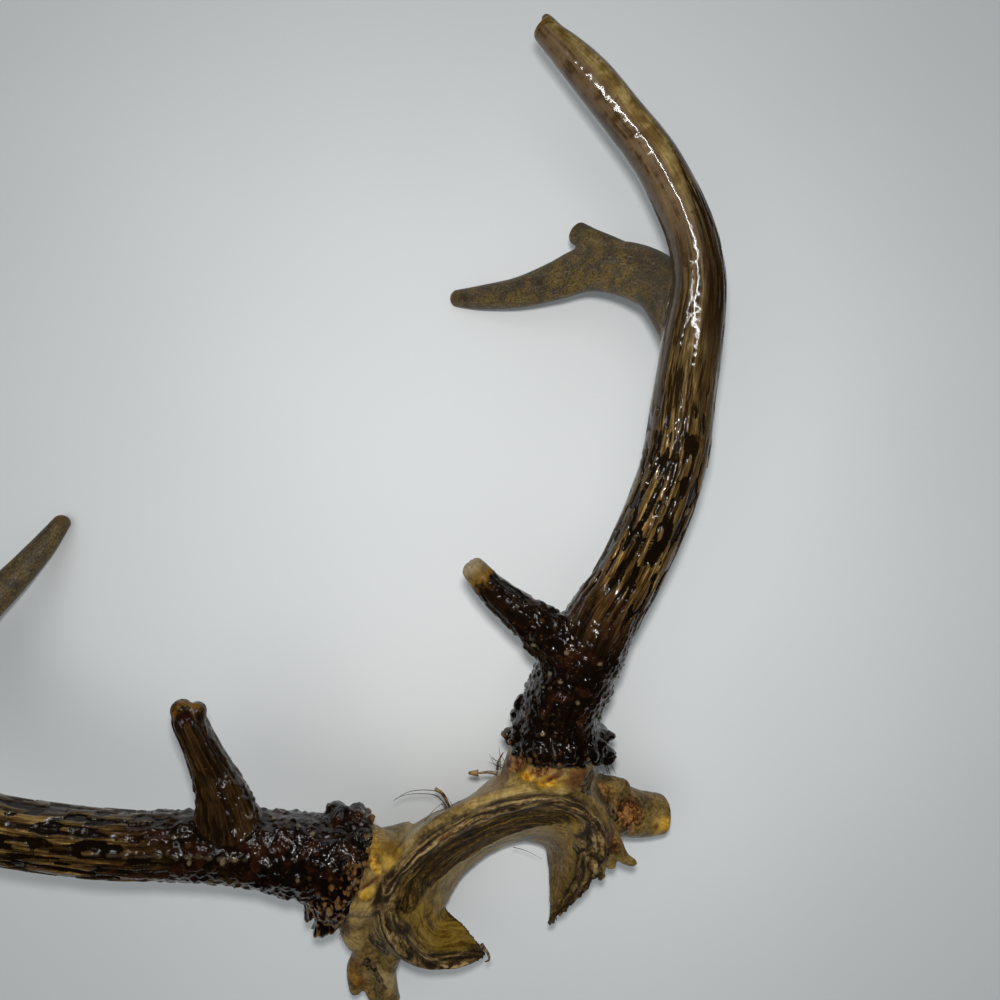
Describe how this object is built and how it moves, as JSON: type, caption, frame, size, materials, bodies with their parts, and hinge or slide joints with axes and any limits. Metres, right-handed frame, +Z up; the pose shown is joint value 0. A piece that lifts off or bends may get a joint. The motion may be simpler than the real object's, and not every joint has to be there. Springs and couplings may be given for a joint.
{
  "type": "deer antler rack on a sawn skull plate",
  "caption": "Small deer rack: varnished antlers with brow and fork tines, still joined to the sawn skull plate they grew from; it lies on its plate and fork tips.",
  "frame": {"origin": "centre of the outline, on the surface that the rack lies on", "axes": "+X lateral, towards the right antler; +Y dorsal, from the saw cut towards the antlers; +Z up, away from the surface the rack lies on"},
  "size_m": [0.4471, 0.35, 0.0995],
  "materials": {
    "beam_antler": "glossy varnished antler: olive-tan and golden-brown ridges between dark grooves, near black and pearled towards the burr",
    "pearled_antler": "glossy varnished antler, black-brown and thickly pearled, with a worn pale tip",
    "tine_antler": "satin antler, grey-brown to olive with fine dark speckles",
    "bone": "varnished skull bone: amber, tan and olive with grey-brown layered saw-cut edges"
  },
  "bodies": {
    "root": {"skull_plate": "bone", "right_main_beam": "beam_antler", "left_main_beam": "beam_antler", "right_brow_tine": "pearled_antler", "left_brow_tine": "pearled_antler", "right_fork_tine": "tine_antler", "left_fork_tine": "tine_antler", "right_short_point": "tine_antler", "left_short_point": "tine_antler"}
  },
  "joints": []
}
